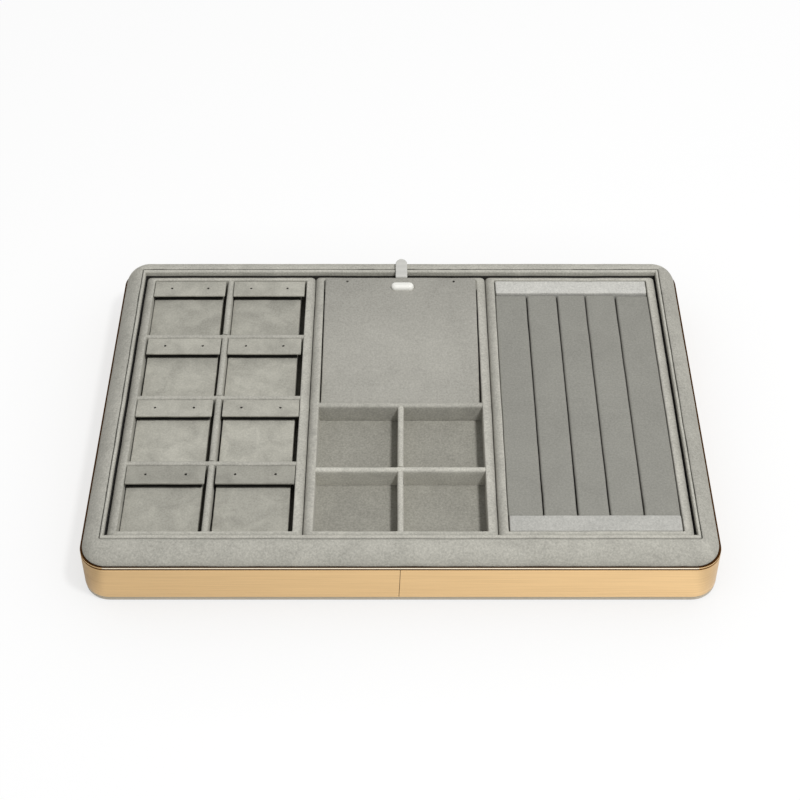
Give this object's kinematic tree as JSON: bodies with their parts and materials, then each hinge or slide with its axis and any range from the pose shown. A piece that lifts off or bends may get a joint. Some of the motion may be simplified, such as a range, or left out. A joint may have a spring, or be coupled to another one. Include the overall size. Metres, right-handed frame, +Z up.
{
  "type": "jewelry tray",
  "caption": "Low rectangular jewellery tray with a gold metal band, suede rim and lift-out earring, pendant and ring inserts set side by side in its well.",
  "frame": {"origin": "centre of the underside of the base plate", "axes": "+Z up, +X to the right along the long side, +Y to the back, where the pull tab lies"},
  "size_m": [0.346, 0.2354, 0.0412],
  "materials": {
    "suede_wrap": "warm grey microfibre suede, short matt nap, glued over board",
    "base_wrap": "plain grey lining cloth glued over the base board",
    "brushed_gold": "aluminium strip brushed lengthwise and anodised pale gold",
    "fibreboard": "raw medium-density fibreboard, hidden",
    "card_suede": "warm grey microfibre over folded card",
    "board_suede": "smooth warm grey microfibre over board",
    "roll_velvet": "grey velvet over soft foam",
    "bar_velvet": "pale grey velvet over board",
    "pale_ribbon": "pale grey satin ribbon"
  },
  "bodies": {
    "tray": {"base_plate": "base_wrap", "metal_band": "brushed_gold", "rim_frame": "suede_wrap", "riser_board": "fibreboard", "well_floor": "suede_wrap", "rail_front": "fibreboard", "rail_back": "fibreboard", "rail_left": "fibreboard", "rail_right": "fibreboard", "liner_front": "suede_wrap", "liner_back": "suede_wrap", "liner_left": "suede_wrap", "liner_right": "suede_wrap"},
    "earring_insert": {"earring_box": "suede_wrap", "earring_divider_long": "suede_wrap", "earring_divider_cross_1": "suede_wrap", "earring_divider_cross_2": "suede_wrap", "earring_divider_cross_3": "suede_wrap"},
    "pendant_insert": {"pendant_box": "suede_wrap", "pendant_cross_wall": "suede_wrap", "compartment_divider_long": "suede_wrap", "compartment_divider_cross": "suede_wrap", "board_rest_front": "fibreboard", "board_rest_back": "fibreboard"},
    "ring_insert": {"ring_box": "suede_wrap", "ring_bed_board": "fibreboard", "ring_bar_front": "bar_velvet", "ring_bar_back": "bar_velvet", "ring_roll_1": "roll_velvet", "ring_roll_2": "roll_velvet", "ring_roll_3": "roll_velvet", "ring_roll_4": "roll_velvet", "ring_roll_5": "roll_velvet"},
    "board": {"pendant_board": "board_suede", "retaining_bar": "pale_ribbon", "pull_tab": "pale_ribbon"},
    "card_1_left": {"earring_card_1_left": "card_suede"},
    "card_1_right": {"earring_card_1_right": "card_suede"},
    "card_2_left": {"earring_card_2_left": "card_suede"},
    "card_2_right": {"earring_card_2_right": "card_suede"},
    "card_3_left": {"earring_card_3_left": "card_suede"},
    "card_3_right": {"earring_card_3_right": "card_suede"},
    "card_4_left": {"earring_card_4_left": "card_suede"},
    "card_4_right": {"earring_card_4_right": "card_suede"}
  },
  "joints": [
    {"name": "earring_insert_lift", "type": "slide", "parent": "tray", "child": "earring_insert", "axis": [0, 0, 1], "range_m": [0, 0.045]},
    {"name": "pendant_insert_lift", "type": "slide", "parent": "tray", "child": "pendant_insert", "axis": [0, 0, 1], "range_m": [0, 0.045]},
    {"name": "ring_insert_lift", "type": "slide", "parent": "tray", "child": "ring_insert", "axis": [0, 0, 1], "range_m": [0, 0.045]},
    {"name": "board_lift", "type": "slide", "parent": "pendant_insert", "child": "board", "axis": [0, 0, 1], "range_m": [0, 0.04]},
    {"name": "card_1_left_lift", "type": "slide", "parent": "earring_insert", "child": "card_1_left", "axis": [0, 0, 1], "range_m": [0, 0.035]},
    {"name": "card_1_right_lift", "type": "slide", "parent": "earring_insert", "child": "card_1_right", "axis": [0, 0, 1], "range_m": [0, 0.035]},
    {"name": "card_2_left_lift", "type": "slide", "parent": "earring_insert", "child": "card_2_left", "axis": [0, 0, 1], "range_m": [0, 0.035]},
    {"name": "card_2_right_lift", "type": "slide", "parent": "earring_insert", "child": "card_2_right", "axis": [0, 0, 1], "range_m": [0, 0.035]},
    {"name": "card_3_left_lift", "type": "slide", "parent": "earring_insert", "child": "card_3_left", "axis": [0, 0, 1], "range_m": [0, 0.035]},
    {"name": "card_3_right_lift", "type": "slide", "parent": "earring_insert", "child": "card_3_right", "axis": [0, 0, 1], "range_m": [0, 0.035]},
    {"name": "card_4_left_lift", "type": "slide", "parent": "earring_insert", "child": "card_4_left", "axis": [0, 0, 1], "range_m": [0, 0.035]},
    {"name": "card_4_right_lift", "type": "slide", "parent": "earring_insert", "child": "card_4_right", "axis": [0, 0, 1], "range_m": [0, 0.035]}
  ]
}
